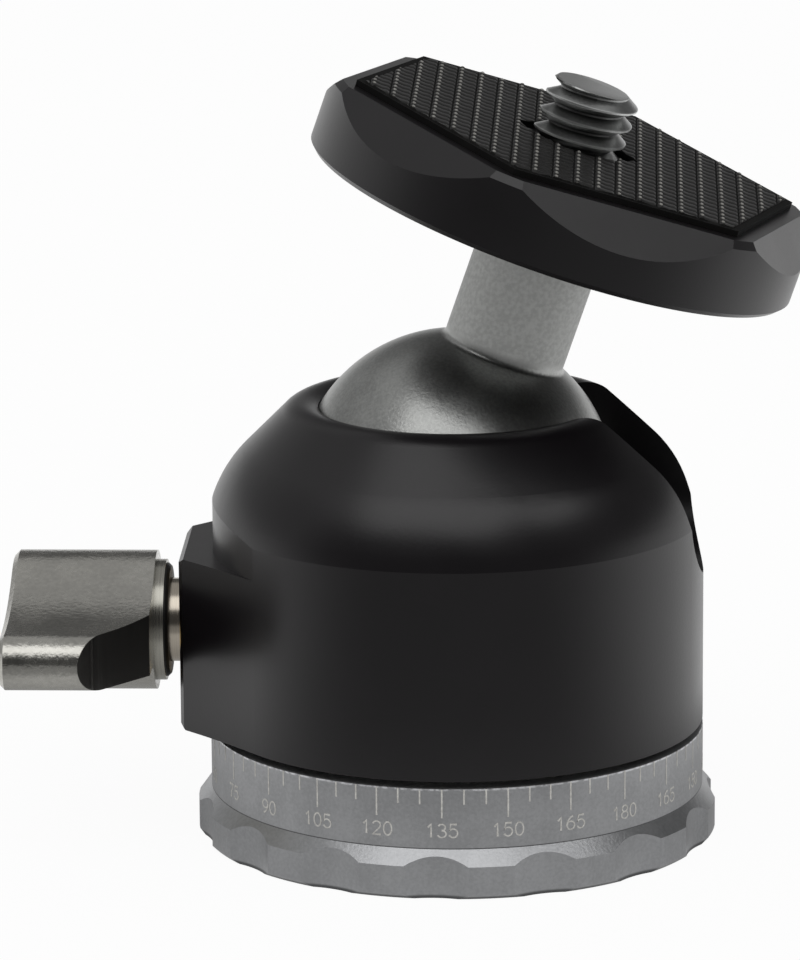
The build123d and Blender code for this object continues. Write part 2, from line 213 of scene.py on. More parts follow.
class Graph(Tree):
    """The shader tree of a material or a world."""

    SHARE, UNDER, OVER, MIXED = 0, 6, 7, 2  # a colour Mix node's inputs and its output

    def __init__(self, block: bpy.types.Material | bpy.types.World) -> None:
        """Empties the block's tree.

        Args:
            block: its nodes are switched on.
        """
        block.use_nodes = True
        self.tree = block.node_tree
        self.tree.nodes.clear()

    def value(
        self, kind: str, settings: Settings = None, inputs: Inputs = None, name: str | int = 0
    ) -> Value:
        """Adds a node and wraps one of its outputs."""
        return Value(self, self.output(kind, settings, inputs, name))

    def place(self) -> bpy.types.NodeSocket:
        """Object coordinates, in metres."""
        return self.output("ShaderNodeTexCoord", name="Object")

    def split(self, vector: bpy.types.NodeSocket) -> tuple[Value, Value, Value]:
        """X, Y and Z of a vector."""
        parts = self.node("ShaderNodeSeparateXYZ", None, {0: vector}).outputs
        return Value(self, parts[0]), Value(self, parts[1]), Value(self, parts[2])

    def axes(self) -> tuple[Value, Value, Value]:
        """X, Y and Z of the object coordinates, in millimetres."""
        x, y, z = (part * (1 / MM) for part in self.split(self.place()))
        return x, y, z

    def distance(self, point: Sequence[object]) -> Value:
        """Length of a vector of two or three values or numbers."""
        joined = self.output("ShaderNodeCombineXYZ", None, dict(enumerate(point)))
        return self.value("ShaderNodeVectorMath", {"operation": "LENGTH"}, {0: joined}, "Value")

    def grain(self, size: float, detail: float = 2.0, stretch: Colour = (1, 1, 1)) -> Value:
        """Noise whose lumps are about as large as asked.

        Args:
            size: of a lump, in millimetres.
            detail: octaves of finer noise.
            stretch: how much longer the lumps are along X, Y and Z.

        Returns:
            Height from 0 to 1.
        """
        scale = tuple(1 / (2 * size * MM * part) for part in stretch)
        mapped = self.output("ShaderNodeMapping", None, {"Vector": self.place(), "Scale": scale})
        inputs = {"Vector": mapped, "Scale": 1.0, "Detail": detail}
        return self.value("ShaderNodeTexNoise", {"noise_dimensions": "3D"}, inputs, "Fac")

    def rings(self, travel: Value, detail: float) -> Value:
        """Noise from 0 to 1 along one value, with a lump about every unit."""
        inputs = {"W": travel, "Scale": 1.0, "Detail": detail}
        return self.value("ShaderNodeTexNoise", {"noise_dimensions": "1D"}, inputs, "Fac")

    def crest(self) -> Value:
        """How near the surface is to the piece's crests, from 0 to 1."""
        return self.value("ShaderNodeAttribute", {"attribute_name": CREST}, None, "Fac")

    def mix(
        self, share: Value, under: Colour | bpy.types.NodeSocket, over: Colour
    ) -> bpy.types.NodeSocket:
        """Lays a plain colour over a plain or varying one.

        Args:
            share: of the upper colour, from 0 to 1.
            under: the lower colour, or the socket that gives it.
            over: the upper colour.

        Returns:
            The mixed colour.
        """
        lower = under if isinstance(under, bpy.types.NodeSocket) else (*under, 1.0)
        inputs = {self.SHARE: share, self.UNDER: lower, self.OVER: (*over, 1.0)}
        return self.output("ShaderNodeMix", {"data_type": "RGBA"}, inputs, self.MIXED)

    def bump(
        self, height: Value, depth: float, over: bpy.types.NodeSocket | None = None
    ) -> bpy.types.NodeSocket:
        """Bent normal.

        Args:
            height: from 0 to 1.
            depth: of the relief between 0 and 1, in millimetres.
            over: a normal that this one is laid over.

        Returns:
            The normal.
        """
        inputs = {"Strength": 1.0, "Distance": depth * MM, "Height": height}
        if over is not None:
            inputs["Normal"] = over
        return self.output("ShaderNodeBump", None, inputs)


# ---- finishes ------------------------------------------------------------------------
@dataclass(frozen=True)
class Finish:
    """What every finish has. Each kind adds its own relief and colour."""

    name: str
    colour: Colour
    roughness: float
    metallic: float = 0.0
    specular: float = 0.5

    def material(self) -> bpy.types.Material:
        """Builds the node-based material.

        Returns:
            The material.
        """
        material = bpy.data.materials.new(self.name)
        graph = Graph(material)
        inputs = {
            "Base Color": (*self.colour, 1.0),
            "Roughness": self.roughness,
            "Metallic": self.metallic,
            "Specular IOR Level": self.specular,
        }
        inputs.update(self.links(graph))
        shader = graph.output("ShaderNodeBsdfPrincipled", None, inputs)
        graph.node("ShaderNodeOutputMaterial", None, {"Surface": shader})
        material.diffuse_color = (*self.colour, 1.0)
        return material

    def links(self, graph: Graph) -> dict[str | int, object]:
        """Inputs of the shader that vary over the surface."""
        raise NotImplementedError

    def shade(self, factor: float) -> Colour:
        """The finish's colour, made lighter or darker."""
        r, g, b = self.colour
        return r * factor, g * factor, b * factor

    def uneven(self, *noises: tuple[Value, float]) -> Value:
        """The roughness, made uneven by noises.

        Args:
            noises: each noise, from 0 to 1, and the whole spread that it gives.

        Returns:
            The varying roughness.
        """
        roughness = self.roughness
        for noise, spread in noises:
            roughness = roughness + (noise - 0.5) * spread
        return roughness


@dataclass(frozen=True)
class Blasted(Finish):
    """Bead-blasted and anodised metal: a fine even grain with a faint mottle."""

    grain: float = 0.12
    depth: float = 0.006
    mottle: float = 0.08
    lump: float = 1.6

    def links(self, graph: Graph) -> dict[str | int, object]:
        """Grain in the relief, mottle in the colour and the gloss.

        Args:
            graph: the material's tree.

        Returns:
            The inputs, by name.
        """
        fine = graph.grain(self.grain, 3.0)
        cloud = graph.grain(self.lump)
        spread = ((fine + cloud) * 0.5).stretched()
        return {
            "Base Color": graph.mix(
                spread, self.shade(1 - self.mottle), self.shade(1 + self.mottle)
            ),
            "Roughness": self.uneven((cloud, 0.1), (fine, 0.1)),
            "Normal": graph.bump(fine, self.depth),
        }


@dataclass(frozen=True)
class BaseBlasted(Blasted):
    """The base's finish: milling lines up its sides, painted shade at the foot and a painted
    highlight in broken patches on the top edge.
    """

    top: float = 7.5
    radius: float = 17.1
    worn: float = 0.0  # height of the painted highlight line under the top edge
    worn_patch: float = 0.25
    foot: float = 0.0
    dark: float = 0.3  # height of the painted shade line over the foot
    streak: float = 0.06  # share of the dark tone in a milling line
    line_width: float = 0.16
    line_stretch: Colour = (1.0, 1.0, 30.0)

    def links(self, graph: Graph) -> dict[str | int, object]:
        """Blasted, with streaks, a painted highlight in broken patches at the top and a painted
        shade line at the foot.

        Args:
            graph: the material's tree.

        Returns:
            The inputs, by name.
        """
        blasted = super().links(graph)
        x, y, height = graph.axes()
        lines = graph.grain(self.line_width, 2.0, self.line_stretch).stretched()
        streaked = graph.mix(lines * self.streak, blasted["Base Color"], self.shade(0.5))
        # painted shade: the foot is darkened where the base stands on the floor and where the band
        # sits on the base
        foot = 1 - height.between(self.foot + self.dark * 0.4, self.foot + self.dark)
        blasted["Base Color"] = graph.mix(foot, streaked, self.shade(0.3))
        # painted highlight: a bright line just under the band's top edge, broken into patches
        if self.worn:
            broken = graph.grain(self.worn_patch, 3.0).between(0.35, 0.6)
            corner = graph.distance((x, y)).between(self.radius - 0.1, self.radius - 0.04)
            edge = height.between(self.top - self.worn * 1.4, self.top - self.worn * 0.6)
            blasted["Base Color"] = graph.mix(
                edge * broken * corner, blasted["Base Color"], self.shade(2.0)
            )
        return blasted


@dataclass(frozen=True)
class BallBlasted(Blasted):
    """The ball's blasted finish: smoother on the sphere than on the neck, whose colour is
    lightened as painted light.
    """

    height: float = 24.2
    radius: float = 11.0
    blend: Point = (0.1, 0.9)  # outside the sphere, where the neck's finish starts and is full
    neck_roughness: float = 0.56
    neck_metallic: float = 0.3
    neck_pale: float = 1.4896  # painted light: times the sphere's colour, and so is the next
    neck_deep: float = 1.2236
    speckle: float = 1.5  # times the grain

    def links(self, graph: Graph) -> dict[str | int, object]:
        """Blasted, duller outside the sphere, and painted lighter there as painted light.

        Args:
            graph: the material's tree.

        Returns:
            The inputs, by name.
        """
        blasted = super().links(graph)
        x, y, z = graph.axes()
        start, full = (self.radius + step for step in self.blend)
        neck = graph.distance((x, y, z - self.height)).between(start, full)
        speckle = graph.grain(self.grain * self.speckle).stretched()
        # painted light: the neck, speckles included, is painted lighter than the sphere
        pale = graph.mix(neck, blasted["Base Color"], self.shade(self.neck_pale))
        blasted["Base Color"] = graph.mix(neck * speckle, pale, self.shade(self.neck_deep))
        blasted["Roughness"] = blasted["Roughness"] + neck * (self.neck_roughness - self.roughness)
        blasted["Metallic"] = self.metallic + neck * (self.neck_metallic - self.metallic)
        return blasted


@dataclass(frozen=True)
class ThreadBlasted(Blasted):
    """A blasted thread, with painted shade down in its groove and a painted highlight on its
    crests.
    """

    groove_tone: float = 0.45  # times the colour, and so is the next
    crest_tone: float = 1.9

    def links(self, graph: Graph) -> dict[str | int, object]:
        """Blasted, with painted shade and a painted highlight as the piece's own crest attribute
        says.

        Args:
            graph: the material's tree.

        Returns:
            The inputs, by name.
        """
        blasted = super().links(graph)
        crest = graph.crest()
        # painted shade down in the groove, then a painted highlight on the crests
        groove = 1 - crest.between(0.0, 0.5)
        dark = graph.mix(groove, blasted["Base Color"], self.shade(self.groove_tone))
        blasted["Base Color"] = graph.mix(
            crest.between(0.85, 1.0), dark, self.shade(self.crest_tone)
        )
        return blasted


@dataclass(frozen=True)
class Turned(Finish):
    """Metal or plastic turned on a lathe: fine rings about an axis."""

    axis: Axis = Axis.PAN
    pitch: float = 0.12
    depth: float = 0.0015
    smudge: float = 1.2

    def links(self, graph: Graph) -> dict[str | int, object]:
        """Rings across the faces and along the barrels, uneven from ring to ring.

        Args:
            graph: the material's tree.

        Returns:
            The inputs, by name.
        """
        x, y, z = graph.axes()
        along, sides = (z, (x, y)) if self.axis is Axis.PAN else (x, (y, z - CLAMP_HEIGHT))
        rings = graph.rings((along + graph.distance(sides)) * (1 / self.pitch), 3.0)
        return {
            "Base Color": graph.mix(rings.stretched(), self.shade(0.9), self.shade(1.08)),
            "Roughness": self.uneven((rings, 0.2), (graph.grain(self.smudge), 0.1)),
            "Normal": graph.bump(rings, self.depth),
        }


@dataclass(frozen=True)
class Moulded(Finish):
    """Rubber or plastic from a mould: a dull skin with pores and a little dust."""

    pore: float = 0.08
    depth: float = 0.008
    dust: float = 0.02
    cloud: float = 2.5

    def links(self, graph: Graph) -> dict[str | int, object]:
        """Pores in the relief, dust in the colour.

        Args:
            graph: the material's tree.

        Returns:
            The inputs, by name.
        """
        pores = graph.grain(self.pore, 3.0)
        r, g, b = self.colour
        dusty = (r + self.dust, g + self.dust, b + self.dust)
        patch = graph.grain(self.cloud, 3.0).between(0.45, 0.8)
        return {
            "Base Color": graph.mix(patch, self.colour, dusty),
            "Roughness": self.uneven((pores, 0.15)),
            "Normal": graph.bump(pores, self.depth),
        }


@dataclass(frozen=True)
class TreadRubber(Moulded):
    """Pad rubber: dark in the grooves, pale on the crests of the ridges, partly from rubbing and
    dust and partly a painted highlight.
    """

    rubbed: Colour = (0.27, 0.265, 0.245)
    patch: float = 0.3
    low_roughness: float = 0.35  # added down in the grooves

    def links(self, graph: Graph) -> dict[str | int, object]:
        """Moulded rubber, paler where the piece's own crest attribute is high.

        Args:
            graph: the material's tree.

        Returns:
            The inputs, by name.
        """
        moulded = super().links(graph)
        crest = graph.crest()
        patch = graph.grain(self.patch).between(0.2, 0.6)
        # pale crests: partly rubbing and dust, partly a painted highlight
        share = crest.between(0.66, 0.95) * (patch * 0.4 + 0.6)
        moulded["Base Color"] = graph.mix(share, moulded["Base Color"], self.rubbed)
        low = 1 - crest.between(0.0, 0.3)
        moulded["Roughness"] = moulded["Roughness"] + low * self.low_roughness
        return moulded


@dataclass(frozen=True)
class BlackAnodised(Finish):
    """Satin black on a turned shell: micro grain over very faint tool lines."""

    grain: float = 0.1
    depth: float = 0.004
    cloud: float = 3.0
    line_pitch: float = 0.22
    line_depth: float = 0.0006
    line_stretch: Colour = (1.0, 1.0, 40.0)

    def links(self, graph: Graph) -> dict[str | int, object]:
        """Grain over lines that run up the barrel, and a slightly uneven gloss.

        Args:
            graph: the material's tree.

        Returns:
            The inputs, by name.
        """
        fine = graph.grain(self.grain, 3.0)
        lines = graph.grain(self.line_pitch, 2.0, self.line_stretch)
        cloud = graph.grain(self.cloud)
        patch = cloud.between(0.35, 0.65)
        return {
            "Base Color": graph.mix(patch, self.shade(0.9), self.shade(1.12)),
            "Roughness": self.uneven((cloud, 0.08), (fine, 0.06)),
            "Normal": graph.bump(fine, self.depth, graph.bump(lines, self.line_depth)),
        }


@dataclass(frozen=True)
class WingBlasted(Blasted):
    """The knob's blasted finish, with the turned cone on its housing side."""

    start: float = 20.73  # of the knob, from the pan axis
    cone_radius: float = 7.9
    slope: float = 0.85
    reach: float = 0.03  # how far from the cone's exact place its rings show
    face_reach: float = 0.02
    rings_per_mm: float = 6.0
    ring_depth: float = 0.0015
    ring_roughness: float = 0.12
    ring_spread: float = 0.2

    def links(self, graph: Graph) -> dict[str | int, object]:
        """Blasted all over, but with turned rings on the cone and the end face.

        Args:
            graph: the material's tree.

        Returns:
            The inputs, by name.
        """
        blasted = super().links(graph)
        x, y, z = graph.axes()
        radius = graph.distance((y, z - CLAMP_HEIGHT))
        from_face = x + self.start
        from_cone = -1 * from_face - (radius - self.cone_radius) * self.slope
        outside = radius > self.cone_radius - self.face_reach
        turned = ((abs(from_cone) < self.reach) * outside).larger(
            abs(from_face) < self.face_reach
        )
        rest = 1 - turned
        rings = graph.rings(radius * self.rings_per_mm, 2.0)
        ringed = turned * (self.ring_roughness + rings * self.ring_spread)
        blasted["Roughness"] = blasted["Roughness"] * rest + ringed
        blasted["Base Color"] = graph.mix(turned, blasted["Base Color"], self.shade(0.9))
        tooled = graph.bump(rings * turned, self.ring_depth)
        blasted["Normal"] = graph.bump(graph.grain(self.grain, 3.0) * rest, self.depth, tooled)
        return blasted


@dataclass(frozen=True)
class MarkFill(Finish):
    """Laser-marked lines and figures: pale oxide, a little patchy."""

    patch: float = 0.12

    def links(self, graph: Graph) -> dict[str | int, object]:
        """Patches where the mark is thinner.

        Args:
            graph: the material's tree.

        Returns:
            The inputs, by name.
        """
        patch = graph.grain(self.patch)
        return {
            "Base Color": graph.mix(patch.stretched(), self.shade(0.8), self.shade(1.06)),
            "Roughness": self.uneven((patch, 0.2)),
        }


class Palette:
    """Every finish of the ball head, made once and found by its name."""

    FINISHES: ClassVar[tuple[Finish, ...]] = (
        BaseBlasted(
            "base_grey", (0.4, 0.405, 0.415), 0.33, 0.95, grain=0.11, depth=0.016, mottle=0.12
        ),
        BaseBlasted(
            "band_grey",
            (0.43, 0.435, 0.445),
            0.42,
            0.82,
            grain=0.11,
            depth=0.014,
            mottle=0.12,
            # painted highlight along the band's top edge
            worn=0.12,
            # painted shade line at the band's foot, where it sits on the base
            foot=3.3,
            dark=0.1,
        ),
        WingBlasted(
            "knob_grey", (0.5, 0.49, 0.455), 0.26, 1.0, grain=0.16, depth=0.03, mottle=0.12
        ),
        BlackAnodised("shell_black", (0.0046, 0.0034, 0.0046), 0.32, specular=0.55),
        BlackAnodised(
            "platform_black", (0.0048, 0.0038, 0.0048), 0.34, specular=0.55, grain=0.08
        ),
        BallBlasted(
            "ball_grey", (0.375, 0.38, 0.37), 0.33, 1.0, grain=0.1, depth=0.014, mottle=0.2
        ),
        ThreadBlasted(
            "stud_grey", (0.37, 0.375, 0.37), 0.32, 1.0, grain=0.09, depth=0.01, mottle=0.14
        ),
        Turned("bright_collar", (0.38, 0.37, 0.33), 0.26, 1.0, axis=Axis.CLAMP),
        Turned("stainless", (0.5, 0.45, 0.38), 0.22, 1.0, axis=Axis.CLAMP),
        Turned("steel", (0.45, 0.45, 0.45), 0.3, 1.0),
        Turned("brass", (0.68, 0.47, 0.19), 0.3, 1.0, axis=Axis.CLAMP),
        Turned("floor_black", (0.006, 0.006, 0.0065), 0.4, specular=0.25),
        Moulded("acetal", (0.74, 0.73, 0.69), 0.45, pore=0.1, dust=-0.05),
        Moulded("nylon", (0.007, 0.007, 0.007), 0.45, specular=0.3),
        TreadRubber("rubber", (0.007, 0.0065, 0.006), 0.5, specular=0.45, pore=0.07, dust=0.006),
        # painted shade: the pad's sheet and edge wall, darker and duller than the tread
        Moulded("rubber_sheet", (0.005, 0.0047, 0.0045), 0.8, specular=0.12, dust=0.003),
        MarkFill("marks", (0.6, 0.59, 0.555), 0.6),
    )

    def __init__(self) -> None:
        """Builds the materials."""
        self.materials = {finish.name: finish.material() for finish in self.FINISHES}

    def __getitem__(self, name: str) -> bpy.types.Material:
        """The material of that name."""
        return self.materials[name]


# ---- pieces --------------------------------------------------------------------------
def put(name: str, data: bpy.types.ID) -> bpy.types.Object:
    """A new object in the scene, at the origin.

    Args:
        name: of the object.
        data: its mesh, lamp or camera.

    Returns:
        The object.
    """
    thing = bpy.data.objects.new(name, data)
    bpy.context.scene.collection.objects.link(thing)
    return thing


def helper(name: str, shape: bmesh.types.BMesh) -> bpy.types.Object:
    """Turns a shape, which is freed, into a bare object, such as recipes and cuts use up.

    Args:
        name: of the object.
        shape: in metres.

    Returns:
        The object.
    """
    mesh = bpy.data.meshes.new(name)
    shape.to_mesh(mesh)
    shape.free()
    return put(name, mesh)


def smooth(mesh: bpy.types.Mesh, crease: float) -> None:
    """Shades a mesh smooth, but leaves edges sharp over so many degrees."""
    mesh.shade_smooth()
    mesh.set_sharp_from_angle(angle=math.radians(crease))


def add_piece(
    name: str,
    shape: bmesh.types.BMesh,
    material: bpy.types.Material,
    crease: float = 30.0,
) -> bpy.types.Object:
    """Turns a finished shape into an object of the scene.

    Args:
        name: of the piece.
        shape: in metres, in the frame of the solids. It is freed.
        material: its finish.
        crease: edges sharper than this, in degrees, stay sharp.

    Returns:
        The object, at the origin.
    """
    piece = helper(name, shape)
    piece.data.materials.append(material)
    smooth(piece.data, crease)
    return piece


def settle(piece: bpy.types.Object, body: Body, slot: Slot, *replaced: str) -> None:
    """Puts a new piece on its body and hides the solids it stands for.

    Args:
        piece: a finished mesh.
        body: the body that carries it.
        slot: the slot of its finish; not used.
        replaced: nodes that it stands for, if any.
    """
    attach(piece, body.value)
    if replaced:
        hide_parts(*replaced)
    log.info("%s rides on %s, %d faces", piece.name, body.value, len(piece.data.polygons))


def evaluated_mesh(carrier: bpy.types.Object) -> bpy.types.Mesh:
    """A plain mesh of what an object's modifiers make.

    Args:
        carrier: an object with modifiers.

    Returns:
        The mesh.
    """
    bpy.context.view_layer.update()
    graph = bpy.context.evaluated_depsgraph_get()
    return bpy.data.meshes.new_from_object(carrier.evaluated_get(graph))


def combine(piece: bpy.types.Object, tool: bpy.types.Object, how: Combine = Combine.CUT) -> None:
    """Cuts or joins a closed mesh with another, which is then removed.

    Args:
        piece: the mesh that is changed.
        tool: a closed mesh.
        how: whether the tool is cut away or joined on.
    """
    modifier = piece.modifiers.new("combine", "BOOLEAN")
    modifier.operation = how.value
    modifier.solver = "EXACT"
    modifier.object = tool
    result = evaluated_mesh(piece)
    piece.modifiers.clear()
    old, piece.data = piece.data, result
    bpy.data.meshes.remove(old)
    bpy.data.objects.remove(tool)


def mark_crests(mesh: bpy.types.Mesh, share: Callable[[Vector], float]) -> None:
    """Stores how near each point is to the crests that its finish paints bright: a painted
    highlight, with rubbing and dust as well on the pad.

    Args:
        mesh: the finished mesh, before it is placed.
        share: gives a point's nearness, from 0 to 1 once it is clamped.
    """
    shares = [max(0.0, min(1.0, share(vertex.co))) for vertex in mesh.vertices]
    mesh.attributes.new(CREST, "FLOAT", "POINT").data.foreach_set("value", shares)


class Recipe(Tree):
    """A Geometry Nodes tree built in code, with named sizes as its inputs."""

    SOCKETS: ClassVar[dict[type, str]] = {
        float: "NodeSocketFloat",
        int: "NodeSocketInt",
        bpy.types.Object: "NodeSocketObject",
    }

    def __init__(self, name: str, sizes: dict[str, object]) -> None:
        """Makes the tree and one input for each size.

        Args:
            name: of the tree.
            sizes: numbers and objects by the name of their input.
        """
        self.tree = bpy.data.node_groups.new(name, "GeometryNodeTree")
        self.sizes = sizes
        self.identifiers = {}
        face = self.tree.interface
        for label, size in sizes.items():
            kind = self.SOCKETS[type(size)]
            socket = face.new_socket(label, in_out="INPUT", socket_type=kind)
            self.identifiers[label] = socket.identifier
        face.new_socket("Geometry", in_out="OUTPUT", socket_type="NodeSocketGeometry")
        self.given = self.node("NodeGroupInput")

    def size(self, label: str) -> bpy.types.NodeSocket:
        """The input socket with that name."""
        return self.given.outputs[label]

    def math(self, operation: str, *operands: object) -> bpy.types.NodeSocket:
        """Adds a Math node."""
        return self.output("ShaderNodeMath", {"operation": operation}, dict(enumerate(operands)))

    def in_row(self, number: bpy.types.NodeSocket, pitch: str, first: str) -> bpy.types.NodeSocket:
        """Place of a numbered item in an even row.

        Args:
            number: of the item, from 0.
            pitch: the input that holds the step from item to item.
            first: the input that holds the first item's place.

        Returns:
            The place along the row.
        """
        return self.math("ADD", self.math("MULTIPLY", number, self.size(pitch)), self.size(first))

    def instances(self, label: str, spots: Inputs) -> bpy.types.NodeSocket:
        """Puts the object of one input on points.

        Args:
            label: name of the input.
            spots: the points, and what else the node takes, such as a rotation.

        Returns:
            The instances.
        """
        found = {"Object": self.size(label)}
        shape = self.output("GeometryNodeObjectInfo", None, found, "Geometry")
        return self.output("GeometryNodeInstanceOnPoints", None, {**spots, "Instance": shape})

    def join(self, shapes: Iterable[bpy.types.NodeSocket]) -> bpy.types.NodeSocket:
        """All the shapes together.

        Args:
            shapes: in the order that they are joined in.

        Returns:
            One geometry.
        """
        join = self.node("GeometryNodeJoinGeometry")
        for shape in shapes:
            self.tree.links.new(shape, join.inputs[0])
        return join.outputs[0]

    def finish(
        self, geometry: bpy.types.NodeSocket, material: bpy.types.Material, merge: float = 0.0
    ) -> bmesh.types.BMesh:
        """Ends the tree in Realize Instances and Set Material, and runs it once.

        Args:
            geometry: what the tree makes.
            material: its finish.
            merge: distance under which points are joined, in metres.

        Returns:
            The plain result.
        """
        shape = self.output("GeometryNodeRealizeInstances", None, {0: geometry})
        if merge:
            welded = {0: shape, "Distance": merge}
            shape = self.output("GeometryNodeMergeByDistance", None, welded)
        shape = self.output("GeometryNodeSetMaterial", None, {0: shape, "Material": material})
        self.node("NodeGroupOutput", None, {0: shape})
        carrier = put(self.tree.name, bpy.data.meshes.new(self.tree.name + "_carrier"))
        modifier = carrier.modifiers.new("recipe", "NODES")
        modifier.node_group = self.tree
        for label, size in self.sizes.items():
            modifier[self.identifiers[label]] = size
        mesh = evaluated_mesh(carrier)
        result = bmesh.new()
        result.from_mesh(mesh)
        bpy.data.objects.remove(carrier)
        bpy.data.meshes.remove(mesh)
        for size in self.sizes.values():
            if isinstance(size, bpy.types.Object):
                bpy.data.objects.remove(size)
        return result


@dataclass
class SubAssembly:
    """A part of the head: it dresses its solids, and may add pieces of its own."""

    DRESS: ClassVar[dict[str, str]] = {}

    def build(self, palette: Palette) -> None:
        """Gives each carried-over solid its finish.

        Args:
            palette: the finishes.
        """
        for node, finish in self.DRESS.items():
            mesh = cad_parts[node].data
            mesh.materials.clear()
            mesh.materials.append(palette[finish])
            log.info("%s is dressed in %s", node, finish)


# ---- shapes --------------------------------------------------------------------------
def on_circle(turn: float, radius: float = 1.0, height: float = 0.0) -> Vector:
    """Point round the Z axis, at a heading in radians from +X."""
    return Vector((radius * math.cos(turn), radius * math.sin(turn), height))


def prism(outline: Sequence[Sequence[float]], low: float, high: float) -> bmesh.types.BMesh:
    """Closed prism over an outline that runs anticlockwise.

    Args:
        outline: X and Y of its points, in millimetres.
        low: its underside.
        high: its top.

    Returns:
        The shape, in metres.
    """
    shape = bmesh.new()
    under, over = (
        [shape.verts.new(Vector((x, y, z)) * MM) for x, y in outline] for z in (low, high)
    )
    shape.faces.new(reversed(under))
    shape.faces.new(over)
    for n in range(len(outline)):
        m = (n + 1) % len(outline)
        shape.faces.new((under[n], under[m], over[m], over[n]))
    return shape


def lathe(outline: Path, segments: int = 96) -> bmesh.types.BMesh:
    """Turned solid about Z.

    Args:
        outline: radius and height in millimetres, upwards along the outside.
        segments: round the axis.

    Returns:
        The shape, in metres.
    """
    shape = bmesh.new()
    columns = []
    for n in range(segments):
        spin = on_circle(2 * math.pi * n / segments)
        columns.append([shape.verts.new((spin * r + Vector((0, 0, z))) * MM) for r, z in outline])
    for n, column in enumerate(columns):
        following = columns[(n + 1) % segments]
        for k in range(len(outline) - 1):
            shape.faces.new((column[k], following[k], following[k + 1], column[k + 1]))
    bmesh.ops.remove_doubles(shape, verts=shape.verts, dist=WELD)
    bmesh.ops.holes_fill(shape, edges=shape.edges, sides=0)
    bmesh.ops.recalc_face_normals(shape, faces=shape.faces)
    return shape


def bar(radius: float, low: float, high: float, segments: int = 96) -> bmesh.types.BMesh:
    """Round bar about Z, between two heights."""
    return lathe([(0, low), (radius, low), (radius, high), (0, high)], segments)


def slice_off(
    shape: bmesh.types.BMesh, point: Sequence[float], way: Sequence[float]
) -> list[bmesh.types.BMEdge]:
    """Removes what lies beyond a plane.

    Args:
        shape: it is changed.
        point: on the plane, in metres.
        way: the plane's normal, towards what goes.

    Returns:
        The edges along the cut.
    """
    cut = bmesh.ops.bisect_plane(
        shape,
        geom=[*shape.verts, *shape.edges, *shape.faces],
        plane_co=point,
        plane_no=way,
        clear_outer=True,
    )
    return [part for part in cut["geom_cut"] if isinstance(part, bmesh.types.BMEdge)]


@dataclass(frozen=True)
class Thread:
    """A right-hand 60 degree thread, as the surface of its male form about Z."""

    crest_radius: float
    pitch: float
    bottom: float
    top: float
    top_chamfer: float = 0.45
    phase: float = 0.0  # how much higher the crests are
    segments: int = 96
    crest_flat: float = 1 / 8
    root_flat: float = 1 / 4
    depth_share: float = 0.6134
    flank_steps: int = 4
    core_share: float = 0.5  # of the root radius, kept above the chamfer

    @property
    def root_radius(self) -> float:
        """Radius at the bottom of the groove."""
        return self.crest_radius - self.depth_share * self.pitch

    def _knots(self) -> Path:
        """One pitch of the profile, as its share of the pitch and its radius.

        Returns:
            Points from a crest down to the root and up again.
        """
        half_crest, half_root = self.crest_flat / 2, self.root_flat / 2
        flank = 0.5 - half_crest - half_root
        depth = self.crest_radius - self.root_radius
        shares = [step / self.flank_steps for step in range(self.flank_steps + 1)]
        down = [(half_crest + flank * s, self.crest_radius - depth * s) for s in shares]
        up = [(0.5 + half_root + flank * s, self.root_radius + depth * s) for s in shares]
        return down + up

    def _column(
        self, shape: bmesh.types.BMesh, knots: Path, turn: float
    ) -> list[bmesh.types.BMVert]:
        """The profile from end to end at one heading, with an overrun at both ends.

        Args:
            shape: takes the points.
            knots: one pitch of the profile.
            turn: the heading as a share of a whole turn.

        Returns:
            The points, upwards.
        """
        start = self.bottom - 1.5 * self.pitch + self.phase
        turns = math.ceil((self.top - self.bottom) / self.pitch) + 2
        spin = on_circle(2 * math.pi * turn)
        column = []
        for row in range(turns * len(knots)):
            share, radius = knots[row % len(knots)]
            height = start + self.pitch * (row // len(knots) + share + turn)
            limit = self.crest_radius - self.top_chamfer - (height - self.top)
            radius = max(min(radius, limit), self.root_radius * self.core_share)
            column.append(shape.verts.new((spin * radius + Vector((0, 0, height))) * MM))
        return column

    def shape(self) -> bmesh.types.BMesh:
        """The threaded bar, closed at both ends.

        Returns:
            The shape, in metres.
        """
        knots = self._knots()
        shape = bmesh.new()
        columns = [self._column(shape, knots, n / self.segments) for n in range(self.segments)]
        for n, column in enumerate(columns):
            last = n + 1 == self.segments
            following, shift = (columns[0], len(knots)) if last else (columns[n + 1], 0)
            for row in range(len(column) - 1 - shift):
                beside = row + shift
                corners = (column[row], following[beside], following[beside + 1], column[row + 1])
                shape.faces.new(corners)
        for height, side in ((self.bottom, -1), (self.top, 1)):
            rim = slice_off(shape, (0, 0, height * MM), (0, 0, side))
            bmesh.ops.contextual_create(shape, geom=rim)
        bmesh.ops.recalc_face_normals(shape, faces=shape.faces)
        return shape


# ---- figures -------------------------------------------------------------------------
SWEEP_STEP = 20  # degrees
SHARPEST_MITRE = 0.6  # cosine of half the bend, past which a corner isn't widened


def sweep(middle: Point, reach: Point, start: float, end: float) -> Path:
    """Points along part of an ellipse.

    Args:
        middle: its centre.
        reach: its half width and half height.
        start: first angle in degrees, from +X.
        end: last angle.

    Returns:
        Points about a sweep step apart.
    """
    steps = max(2, round(abs(end - start) / SWEEP_STEP))
    angles = [math.radians(start + (end - start) * n / steps) for n in range(steps + 1)]
    return [
        (middle[0] + reach[0] * math.cos(a), middle[1] + reach[1] * math.sin(a)) for a in angles
    ]


